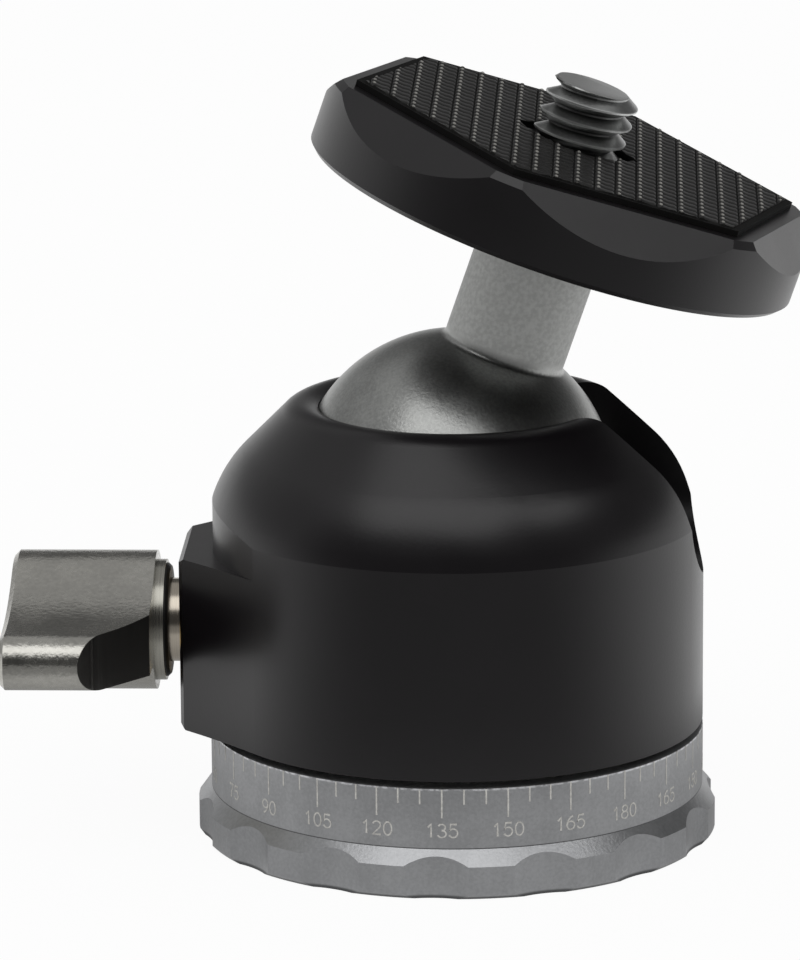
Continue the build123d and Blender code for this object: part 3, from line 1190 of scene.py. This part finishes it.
class Digits:
    """Single-stroke digits, in a cell one wide and one high."""

    SIX: ClassVar[list[Path]] = [
        sweep((0.5, 0.31), (0.44, 0.31), 180, -180),
        sweep((0.86, 0.31), (0.8, 0.69), 180, 97),
    ]
    PATHS: ClassVar[dict[str, list[Path]]] = {
        "0": [sweep((0.5, 0.5), (0.44, 0.5), 90, -270)],
        "1": [[(0.22, 0.74), (0.56, 1.0), (0.56, 0.0)]],
        "2": [[*sweep((0.5, 0.72), (0.42, 0.28), 165, -38), (0.06, 0.0), (0.95, 0.0)]],
        "3": [
            sweep((0.48, 0.76), (0.38, 0.24), 155, -90),
            sweep((0.48, 0.265), (0.46, 0.265), 90, -160),
        ],
        "4": [[(0.74, 0.0), (0.74, 1.0), (0.04, 0.3), (0.98, 0.3)]],
        "5": [
            [(0.86, 1.0), (0.22, 1.0), (0.1, 0.5), *sweep((0.48, 0.33), (0.46, 0.33), 140, -155)]
        ],
        "6": SIX,
        "7": [[(0.04, 1.0), (0.95, 1.0), (0.56, 0.5), (0.38, 0.0)]],
        "8": [
            sweep((0.5, 0.76), (0.37, 0.24), 90, -270),
            sweep((0.5, 0.265), (0.45, 0.265), 90, -270),
        ],
        "9": [[(1 - x, 1 - y) for x, y in path] for path in SIX],
    }

    @classmethod
    def number(cls, text: str, height: float, width: float, advance: float) -> list[Path]:
        """Paths of a whole number, centred on the line X = 0.

        Args:
            text: its digits.
            height: of a digit.
            width: of a digit.
            advance: from one digit to the next.

        Returns:
            Paths with X across and Y up from the foot, in the units of the sizes.
        """
        left = -((len(text) - 1) * advance + width) / 2
        return [
            [(left + n * advance + x * width, y * height) for x, y in path]
            for n, digit in enumerate(text)
            for path in cls.PATHS[digit]
        ]


def ribbon(path: Path, width: float) -> list[tuple[Point, Point]]:
    """Left and right edge points of a stroke of even width along a path.

    Args:
        path: the middle of the stroke.
        width: of the stroke.

    Returns:
        A pair of points for each point of the path.
    """
    closed = math.dist(path[0], path[-1]) < 1e-6
    edges = []
    for n, (x, y) in enumerate(path):
        before = path[n - 1] if n else (path[-2] if closed else path[0])
        after = path[n + 1] if n + 1 < len(path) else (path[1] if closed else path[-1])
        back = Vector((x - before[0], y - before[1]))
        ahead = Vector((after[0] - x, after[1] - y))
        back, ahead = (back or ahead).normalized(), (ahead or back).normalized()
        along = (back + ahead).normalized()
        mitre = width / 2 / max(SHARPEST_MITRE, math.sqrt((1 + back.dot(ahead)) / 2))
        side = Vector((-along.y, along.x)) * mitre
        edges.append(((x + side.x, y + side.y), (x - side.x, y - side.y)))
    return edges


# ---- panning base --------------------------------------------------------------------
@dataclass
class PanningBase(SubAssembly):
    """Scalloped base with the degree scale, the tripod socket and the pan bearing."""

    band_radius: float = 17.1
    band_top: float = 7.5
    first_heading: float = -46.7  # of the 180 mark, in degrees from +X
    step: float = 5.0
    figure_step: float = 15.0
    long_mark: float = 2.0
    short_mark: float = 1.05
    mark_width: float = 0.11
    mark_inset: float = 0.02
    mark_depth: float = 0.05  # most of it inside the band
    proud: float = 0.014
    crossing: float = 0.2  # share of that by which crossing strokes differ
    figure_height: float = 0.92
    figure_width: float = 0.64
    figure_advance: float = 0.77
    figure_middle: float = 4.6
    stroke_width: float = 0.1
    bush_radius: float = 5.6
    socket_pitch: float = 25.4 / 16
    socket_crest_radius: float = 4.76
    socket_depth_share: float = 0.54  # of the pitch, from crest to root
    socket_length: float = 7.5
    mouth_chamfer: float = 0.4
    overcut: float = 0.1  # by which the mouth's cutter passes the bush
    overrun: float = 1.0  # and the thread's, at each end

    DRESS: ClassVar[dict[str, str]] = {
        "base_plate": "base_grey",
        "scale_ring": "band_grey",
        "pan_spindle": "steel",
        "spindle_screws": "steel",
        "lower_glide_washer": "acetal",
        "upper_glide_washer": "acetal",
    }

    def build(self, palette: Palette) -> None:
        """Dresses the solids and adds the scale and the socket's thread.

        Args:
            palette: the finishes.
        """
        super().build(palette)
        fill = palette["marks"]
        for name, shape in (("scale_marks", self.marks(fill)), ("scale_figures", self.figures())):
            settle(add_piece(name, shape, fill), Body.BASE, Slot.GREY)
        settle(self.socket(palette["steel"]), Body.BASE, Slot.STEEL, "tripod_bush")

    def _mark(self, length: float) -> bmesh.types.BMesh:
        """One line of the scale, on the +X side of the band.

        Args:
            length: down from the top of the band.

        Returns:
            A thin block, most of it inside the band.
        """
        half = self.mark_width / 2
        high = self.band_top - self.mark_inset
        outer = self.band_radius + self.proud
        inner = outer - self.mark_depth
        flat = [(inner, -half), (outer, -half), (outer, half), (inner, half)]
        return prism(flat, high - length, high)

    def marks(self, material: bpy.types.Material) -> bmesh.types.BMesh:
        """Lines every few degrees, longer at each figure.

        Args:
            material: the fill of the lines.

        Returns:
            All the lines, in place.
        """
        recipe = Recipe(
            "scale_recipe",
            {
                "Count": round(360 / self.step),
                "Step": math.radians(self.step),
                "First": math.radians(self.first_heading),
                "Long every": round(self.figure_step / self.step),
                "Long mark": helper("long_mark", self._mark(self.long_mark)),
                "Short mark": helper("short_mark", self._mark(self.short_mark)),
            },
        )
        index = recipe.output("GeometryNodeInputIndex")
        turn = recipe.in_row(index, "Step", "First")
        rest = recipe.math("MODULO", index, recipe.size("Long every"))
        is_long = recipe.math("LESS_THAN", rest, 0.5)
        is_short = recipe.math("SUBTRACT", 1.0, is_long)
        spots = {
            "Points": recipe.output("GeometryNodePoints", None, {"Count": recipe.size("Count")}),
            "Rotation": recipe.output("ShaderNodeCombineXYZ", None, {"Z": turn}),
        }
        joined = recipe.join(
            recipe.instances(label, {**spots, "Selection": chosen})
            for label, chosen in (("Long mark", is_long), ("Short mark", is_short))
        )
        return recipe.finish(joined, material)

    def figures(self) -> bmesh.types.BMesh:
        """Figures from 0 to 180 and back, wrapped round the band.

        Returns:
            All the figures, in place.
        """
        together = bmesh.new()
        cell = (self.figure_height, self.figure_width, self.figure_advance)
        for n in range(round(360 / self.figure_step)):
            turned = n * self.figure_step
            heading = math.radians(self.first_heading + turned)
            paths = Digits.number(str(round(abs(180 - turned))), *cell)
            for layer, path in enumerate(paths):
                self._wrap(together, ribbon(path, self.stroke_width), heading, layer % 2)
        bmesh.ops.recalc_face_normals(together, faces=together.faces)
        return together

    def _wrap(
        self,
        together: bmesh.types.BMesh,
        edges: Sequence[tuple[Point, Point]],
        heading: float,
        layer: int,
    ) -> None:
        """Wraps one stroke round the band as a thin closed strip.

        Args:
            together: the mesh that collects the strokes.
            edges: left and right points of the stroke.
            heading: of the number's middle from +X, in radians.
            layer: 1 for a stroke that lies just over its neighbour.
        """
        foot = self.figure_middle - self.figure_height / 2
        outer = self.band_radius + self.proud + layer * self.proud * self.crossing
        inner = self.band_radius - self.proud
        sections = []
        for left, right in edges:
            corners = ((left, inner), (left, outer), (right, outer), (right, inner))
            section = []
            for (across, up), radius in corners:
                point = on_circle(heading + across / self.band_radius, radius, foot + up)
                section.append(together.verts.new(point * MM))
            sections.append(section)
        for first, second in zip(sections, sections[1:]):
            for k in range(4):
                m = (k + 1) % 4
                together.faces.new((first[k], second[k], second[m], first[m]))
        together.faces.new(sections[0])
        together.faces.new(reversed(sections[-1]))

    def socket(self, material: bpy.types.Material) -> bpy.types.Object:
        """Tripod bush with its real thread and a small lead-in at the mouth.

        Args:
            material: of the bush.

        Returns:
            The bush, in place.
        """
        crease = 30.0
        shape = bar(self.bush_radius, 0, self.socket_length)
        bush = add_piece("tripod_bush_threaded", shape, material, crease)
        thread = Thread(
            self.socket_crest_radius,
            self.socket_pitch,
            -self.overrun,
            self.socket_length + self.overrun,
            top_chamfer=0.0,
            depth_share=self.socket_depth_share,
        )
        combine(bush, helper("socket_thread", thread.shape()))
        wide = self.socket_crest_radius + self.overcut
        mouth = [
            (0, -self.overcut),
            (wide, -self.overcut),
            (wide - self.mouth_chamfer - self.overcut, self.mouth_chamfer),
            (0, self.mouth_chamfer),
        ]
        combine(bush, helper("socket_mouth", lathe(mouth)))
        smooth(bush.data, crease)
        return bush


# ---- housing, ball and clamp ---------------------------------------------------------
@dataclass
class Housing(SubAssembly):
    """Domed body with its floor and the bush that the clamp screw runs in."""

    DRESS: ClassVar[dict[str, str]] = {
        "housing": "shell_black",
        "housing_floor": "floor_black",
        "clamp_bush": "brass",
    }


@dataclass
class BallAndSeat(SubAssembly):
    """Ball with its neck, the friction liner and the cup that presses it up."""

    DRESS: ClassVar[dict[str, str]] = {
        "ball": "ball_grey",
        "seat_cup": "acetal",
        "friction_liner": "acetal",
    }


@dataclass
class ClampKnob(SubAssembly):
    """Wing knob with its shaft, washers and end screw, and the wedge that it drives."""

    DRESS: ClassVar[dict[str, str]] = {
        "knob_wing": "knob_grey",
        "knob_shaft": "stainless",
        "knob_collar": "bright_collar",
        "knob_washer": "nylon",
        "knob_screw": "stainless",
        "clamp_plunger": "brass",
    }


# ---- camera platform -----------------------------------------------------------------
@dataclass
class CameraPlatform(SubAssembly):
    """Round platform with its hexagonal ribbed pad and the camera stud."""

    ball_height: float = 24.2
    lean: float = 19.1
    side_lean: float = 0.95
    underside: float = 19.85
    thickness: float = 5.38
    hexagon_angle: float = 15.1
    pad_corner_radius: float = 16.15
    pad_thickness: float = 0.42
    pad_crease: float = 40.0
    tread_margin: float = 0.6
    ridge_height: float = 0.2
    ridge_pitch: float = 1.455
    ridge_offset: float = 0.08  # of a crest from the axis, down the slope
    rib_pitch: float = 1.13
    rib_weld: float = 0.004
    opening_radius: float = 3.5
    opening_point: float = 4.4
    opening_steps: int = 24
    stud_radius: float = 3.175
    stud_pitch: float = 1.27
    stud_height: float = 4.4
    stud_phase: float = -0.665
    stud_depth_share: float = 0.66  # of the pitch, from crest to root
    stud_flats: Point = (0.09, 0.1)  # of the crest and the root, as shares of the pitch
    stud_depth: float = 6.0
    stud_overlap: float = 0.2  # of the shank, up into the thread
    stud_rim: float = 0.35  # under the top, where the plain end starts
    stud_end: float = 0.85  # how near the plain end counts as being to a crest
    stud_crease: float = 35.0
    place: Matrix = field(init=False)

    DRESS: ClassVar[dict[str, str]] = {"platform": "platform_black"}
    CREST_SHARE: ClassVar[float] = 0.14  # of the ridge pitch, from a rib's start to its bead
    FLANK: ClassVar[float] = 0.35  # of a rib's height, kept where its hump is nil
    HUMP_BASE: ClassVar[float] = 0.3  # under the pad's level, from which humps are counted
    HUMP: ClassVar[float] = 0.6  # of the height over that, given by a full hump
    ALONG: ClassVar[tuple[Point, ...]] = (  # a rib's heights, from groove to groove
        (0.0, -0.5),
        (0.045, 0.55),
        (CREST_SHARE, 1.0),
        (0.225, 0.9),
        (0.29, 0.5),
        (0.55, 0.3),
        (0.84, 0.48),
        (0.94, 0.2),
        (1.0, -0.5),
    )
    ACROSS: ClassVar[tuple[Point, ...]] = (  # and its humps, from side to side
        (0.0, -0.9),
        (0.14, 0.35),
        (0.36, 1.0),
        (0.64, 1.0),
        (0.86, 0.35),
        (1.0, -0.9),
    )

    def __post_init__(self) -> None:
        """Works out where the leaning platform stands."""
        self.place = (
            Matrix.Translation((0, 0, self.ball_height * MM))
            @ Matrix.Rotation(math.radians(self.side_lean), 4, "X")
            @ Matrix.Rotation(math.radians(self.lean), 4, "Y")
        )

    @property
    def land(self) -> float:
        """Height of the land under the pad, from the ball's centre."""
        return self.underside + self.thickness

    def build(self, palette: Palette) -> None:
        """Dresses the platform and adds the ribbed pad and the threaded stud.

        Args:
            palette: the finishes.
        """
        super().build(palette)
        pad = self.pad(palette["rubber"], palette["rubber_sheet"])
        settle(pad, Body.PLATFORM, Slot.RUBBER, "rubber_pad")
        settle(self.stud(palette["stud_grey"]), Body.PLATFORM, Slot.STUD, "camera_stud")

    def _tile(self) -> bmesh.types.BMesh:
        """One cross rib from crest to crest, with the bead that the crest is made of.

        Returns:
            An open sheet that starts in the groove before the bead, in metres.
        """
        shape = bmesh.new()
        rows = []
        for share, rise in self.ALONG:
            row = []
            for place, hump in self.ACROSS:
                rounded = rise * self.FLANK + (rise + self.HUMP_BASE) * self.HUMP * hump
                height = min(rise, rounded)
                top = self.pad_thickness + height * self.ridge_height
                point = Vector((share * self.ridge_pitch, place * self.rib_pitch, top))
                row.append(shape.verts.new(point * MM))
            rows.append(row)
        for low, high in zip(rows, rows[1:]):
            for n in range(len(self.ACROSS) - 1):
                shape.faces.new((low[n], high[n], high[n + 1], low[n + 1]))
        return shape

    def _tread(self, material: bpy.types.Material) -> bmesh.types.BMesh:
        """Ribs on a grid that covers the pad, trimmed to the hexagon.

        Args:
            material: of the ribs.

        Returns:
            The closed tread, flat.
        """
        columns = 2 * math.ceil(self.pad_corner_radius / self.ridge_pitch)
        rows = 2 * math.ceil(self.pad_corner_radius / self.rib_pitch)
        first = self.ridge_offset - (self.CREST_SHARE + columns / 2) * self.ridge_pitch
        recipe = Recipe(
            "tread_recipe",
            {
                "Columns": columns,
                "Rows": rows,
                "Column pitch": self.ridge_pitch * MM,
                "Row pitch": self.rib_pitch * MM,
                "First column": first * MM,
                "First row": -rows / 2 * self.rib_pitch * MM,
                "Rib": helper("rib", self._tile()),
            },
        )
        index = recipe.output("GeometryNodeInputIndex")
        column = recipe.math("FLOOR", recipe.math("DIVIDE", index, recipe.size("Rows")))
        row = recipe.math("MODULO", index, recipe.size("Rows"))
        spot = {
            "X": recipe.in_row(column, "Column pitch", "First column"),
            "Y": recipe.in_row(row, "Row pitch", "First row"),
        }
        grid = {
            "Count": recipe.math("MULTIPLY", recipe.size("Columns"), recipe.size("Rows")),
            "Position": recipe.output("ShaderNodeCombineXYZ", None, spot),
        }
        points = recipe.output("GeometryNodePoints", None, grid)
        ribs = recipe.instances("Rib", {"Points": points})
        tread = recipe.finish(ribs, material, self.rib_weld * MM)
        self._trim(tread)
        return tread

    def _trim(self, tread: bmesh.types.BMesh) -> None:
        """Cuts the tread to its hexagon and closes it down into the sheet below.

        Args:
            tread: it is changed.
        """
        apothem = (self.pad_corner_radius - self.tread_margin) * math.cos(math.pi / 6) * MM
        for n in range(6):
            side = on_circle(math.radians(self.hexagon_angle + 30 + 60 * n))
            slice_off(tread, side * apothem, side)
        rim = [e for e in tread.edges if e.is_boundary]
        made = bmesh.ops.extrude_edge_only(tread, edges=rim)["geom"]
        foot = [v for v in made if isinstance(v, bmesh.types.BMVert)]
        for vert in foot:
            vert.co.z = self.pad_thickness / 2 * MM
        ground = [e for e in made if isinstance(e, bmesh.types.BMEdge) and e.is_boundary]
        bmesh.ops.contextual_create(tread, geom=ground)
        bmesh.ops.recalc_face_normals(tread, faces=tread.faces)

    def _opening(self) -> bmesh.types.BMesh:
        """Round opening with a point at each side, as a cutter.

        Returns:
            A prism that passes the pad at both faces.
        """
        below, above = -1.0, 3.0
        touch = math.acos(self.opening_radius / self.opening_point)
        outline = []
        for side in (0.0, math.pi):
            outline.append(on_circle(side, self.opening_point).xy)
            for n in range(self.opening_steps + 1):
                turn = side + touch + (math.pi - 2 * touch) * n / self.opening_steps
                outline.append(on_circle(turn, self.opening_radius).xy)
        return prism(outline, below, above)

    def pad(self, rubber: bpy.types.Material, below: bpy.types.Material) -> bpy.types.Object:
        """Rubber pad: a tread on a hexagonal sheet, opened for the stud.

        Args:
            rubber: the tread's finish.
            below: the sheet's, darker and duller than the tread as painted shade.

        Returns:
            The pad, in place.
        """
        pad = add_piece("ribbed_pad", self._tread(rubber), rubber, self.pad_crease)
        corners = [math.radians(self.hexagon_angle + 60 * n) for n in range(6)]
        hexagon = [on_circle(turn, self.pad_corner_radius).xy for turn in corners]
        sheet = helper("sheet", prism(hexagon, 0.0, self.pad_thickness))
        whole = bmesh.new()
        for slot, part in enumerate((pad, sheet)):
            combine(part, helper("opening", self._opening()))
            for polygon in part.data.polygons:
                polygon.material_index = slot
            whole.from_mesh(part.data)
        whole.to_mesh(pad.data)
        whole.free()
        # painted shade: the sheet and its edge wall take the darker finish
        pad.data.materials.append(below)
        bpy.data.objects.remove(sheet)
        smooth(pad.data, self.pad_crease)
        mark_crests(pad.data, lambda v: (v.z / MM - self.pad_thickness) / self.ridge_height)
        pad.data.transform(Matrix.Translation((0, 0, self.land * MM)))
        pad.data.transform(self.place)
        return pad

    def stud(self, material: bpy.types.Material) -> bpy.types.Object:
        """Camera stud with its real thread, from inside the neck to the flat top.

        Args:
            material: of the stud.

        Returns:
            The stud, in place.
        """
        crest_flat, root_flat = self.stud_flats
        thread = Thread(
            self.stud_radius,
            self.stud_pitch,
            self.land,
            self.land + self.stud_height,
            phase=self.stud_phase,
            crest_flat=crest_flat,
            root_flat=root_flat,
            depth_share=self.stud_depth_share,
        )
        low, high = self.underside - self.stud_depth, self.land + self.stud_overlap
        shank = bar(thread.root_radius, low, high, 64)
        stud = add_piece("threaded_stud", thread.shape(), material, self.stud_crease)
        combine(stud, helper("stud_shank", shank), Combine.JOIN)
        smooth(stud.data, self.stud_crease)
        mark_crests(stud.data, self._crest_of_thread)
        stud.data.transform(self.place)
        return stud

    def _crest_of_thread(self, point: Vector) -> float:
        """How near a point of the upright stud is to the crests, from 0 to 1.

        Args:
            point: in metres, before the stud leans.

        Returns:
            The nearness.
        """
        if point.z > (self.land + self.stud_height - self.stud_rim) * MM:
            return self.stud_end
        depth = self.stud_depth_share * self.stud_pitch
        return 1 - (self.stud_radius - math.hypot(point.x, point.y) / MM) / depth


# ---- studio --------------------------------------------------------------------------
@dataclass(frozen=True)
class SoftBox:
    """A large soft lamp that faces the head."""

    name: str
    heading: float  # degrees from +X, anticlockwise from above
    elevation: float  # degrees above the floor
    distance: float  # in metres
    size: Point  # across and up, in metres
    brightness: float  # of its face, where the white background is 1
    aim: Colour = (0.0, 0.0, 0.022)

    def build(self) -> None:
        """Adds the lamp."""
        lamp = bpy.data.lights.new(self.name, "AREA")
        lamp.shape = "RECTANGLE"
        lamp.size, lamp.size_y = self.size
        lamp.energy = self.brightness * math.pi * self.size[0] * self.size[1]
        holder = put(self.name, lamp)
        rise = math.radians(self.elevation)
        way = on_circle(math.radians(self.heading), math.cos(rise), math.sin(rise))
        holder.location = Vector(self.aim) + way * self.distance
        holder.rotation_euler = (-way).to_track_quat("-Z", "Y").to_euler()


@dataclass
class Studio:
    """Pale floor, white surroundings, soft lamps and the camera.

    Each dim is the share of white that a reflection loses there.
    """

    camera_place: Colour = (0.012694, -0.411668, 0.125156)
    camera_right: Colour = (0.999237, 0.038449, -0.006899)
    camera_up: Colour = (-0.002416, 0.237106, 0.971481)
    lens: float = 230.5
    sensor: float = 36.0
    clip: Point = (0.01, 50.0)
    floor_reach: float = 4.0  # in metres
    floor_white: float = 0.88
    floor_glow: float = 0.95
    foot_ring: Point = (36.0, 44.0)  # where the floor beside the base ends
    # painted shade of the head on the floor beside the base, seen only in reflections
    foot_dim: float = 0.62
    foot_front: float = 0.2  # taken off the foot's dim towards the camera
    front_dim: float = 0.72
    far_ring: Point = (90.0, 400.0)
    far_dim: float = 0.18  # added to the front's far away
    ambient: float = 0.7
    wall_dim: float = 0.55
    right_dim: float = 0.31  # added to the walls' on the right
    ceiling_dim: float = 0.48
    sky_front_dim: float = 0.93
    boxes: tuple[SoftBox, ...] = (
        SoftBox("key", -103.0, 60.0, 1.0, (1.1, 0.7), 1.2),
        SoftBox("window", -24.0, 49.0, 1.0, (0.4, 0.3), 1.2),
    )

    def build(self) -> None:
        """Adds everything that isn't the head."""
        self._camera()
        self._floor()
        self._world()
        for box in self.boxes:
            box.build()
        bpy.context.scene.view_settings.view_transform = "Standard"
        log.info("studio is ready")

    def _camera(self) -> None:
        """The camera, with its frame in portrait."""
        camera = bpy.data.cameras.new("camera")
        camera.lens, camera.sensor_width = self.lens, self.sensor
        camera.clip_start, camera.clip_end = self.clip
        right, up = Vector(self.camera_right), Vector(self.camera_up)
        back = right.cross(up).normalized()
        turn = Matrix((right.normalized(), up.normalized(), back)).transposed()
        holder = put("camera", camera)
        holder.matrix_world = Matrix.Translation(self.camera_place) @ turn.to_4x4()
        bpy.context.scene.camera = holder

    @staticmethod
    def _rays(graph: Graph) -> tuple[Value, Value]:
        """1 for camera rays, and 1 for glossy and transmission rays.

        Args:
            graph: takes the node.

        Returns:
            The two masks.
        """
        path = graph.node("ShaderNodeLightPath").outputs
        glossy = Value(graph, path["Is Glossy Ray"])
        through = Value(graph, path["Is Transmission Ray"])
        return Value(graph, path["Is Camera Ray"]), glossy.larger(through)

    def _floor_dim(self, graph: Graph) -> Value:
        """How much less than white a reflection of the floor is, from place to place.

        Args:
            graph: the floor's tree.

        Returns:
            The share of white that is lost.
        """
        x, y, _ = graph.axes()
        away = graph.distance((x, y))
        front = ((-1 * y) / away).between(-0.1, 0.85)
        far = front * (self.front_dim + away.between(*self.far_ring) * self.far_dim)
        beyond = away.between(*self.foot_ring)
        # beside the base the floor's reflections carry painted shade of the head
        return beyond * far + (1 - beyond) * (self.foot_dim - front * self.foot_front)

    def _floor(self) -> None:
        """A wide floor that shows white and keeps the head's shadow."""
        material = bpy.data.materials.new("floor_white")
        graph = Graph(material)
        white = {"Color": (*(self.floor_white,) * 3, 1.0)}
        paint = graph.output("ShaderNodeBsdfDiffuse", None, white)
        dim = self._floor_dim(graph)
        camera, mirrored = self._rays(graph)
        light, dark = (
            graph.output("ShaderNodeEmission", None, {"Strength": strength})
            for strength in (1.0, 0.0)
        )
        shares = {0: mirrored * (1 - camera) * dim, 1: light, 2: dark}
        glow = graph.output("ShaderNodeMixShader", None, shares)
        shares = {0: camera.larger(mirrored) * self.floor_glow, 1: paint, 2: glow}
        surface = graph.output("ShaderNodeMixShader", None, shares)
        graph.node("ShaderNodeOutputMaterial", None, {"Surface": surface})
        reach = self.floor_reach
        corners = [(-reach, -reach, 0), (reach, -reach, 0), (reach, reach, 0), (-reach, reach, 0)]
        mesh = bpy.data.meshes.new("floor")
        mesh.from_pydata(corners, [], [(0, 1, 2, 3)])
        mesh.materials.append(material)
        floor = put("floor", mesh)

    def _world(self) -> None:
        """White for the camera; for gloss a white horizon, dim walls and a half-lit ceiling."""
        world = bpy.data.worlds.new("surroundings")
        bpy.context.scene.world = world
        graph = Graph(world)
        right, back, up = graph.split(graph.output("ShaderNodeTexCoord", name="Generated"))
        ceiling = up.between(0.67, 0.75)
        wall_dim = right.between(-0.6, -0.1) * self.right_dim + self.wall_dim
        walls = up.between(0.08, 0.24) * (1 - ceiling) * wall_dim
        front = (-1 * back).between(-0.25, 0.6) * (1 - up.between(0.6, 0.72)) * self.sky_front_dim
        dim = walls.larger(front).larger(ceiling * self.ceiling_dim)
        camera, mirrored = self._rays(graph)
        seen = mirrored * (1 - dim) + (1 - mirrored) * self.ambient
        strength = camera + (1 - camera) * seen
        sky = graph.output("ShaderNodeBackground", None, {"Strength": strength})
        graph.node("ShaderNodeOutputWorld", None, {"Surface": sky})


def main() -> None:
    """Builds the head, sub-assembly by sub-assembly, and then the studio."""
    logging.basicConfig(level=logging.INFO, format="%(name)s: %(message)s")
    palette = Palette()
    for assembly in (PanningBase(), Housing(), BallAndSeat(), ClampKnob(), CameraPlatform()):
        assembly.build(palette)
    Studio().build()


if __name__ == "__main__":
    main()
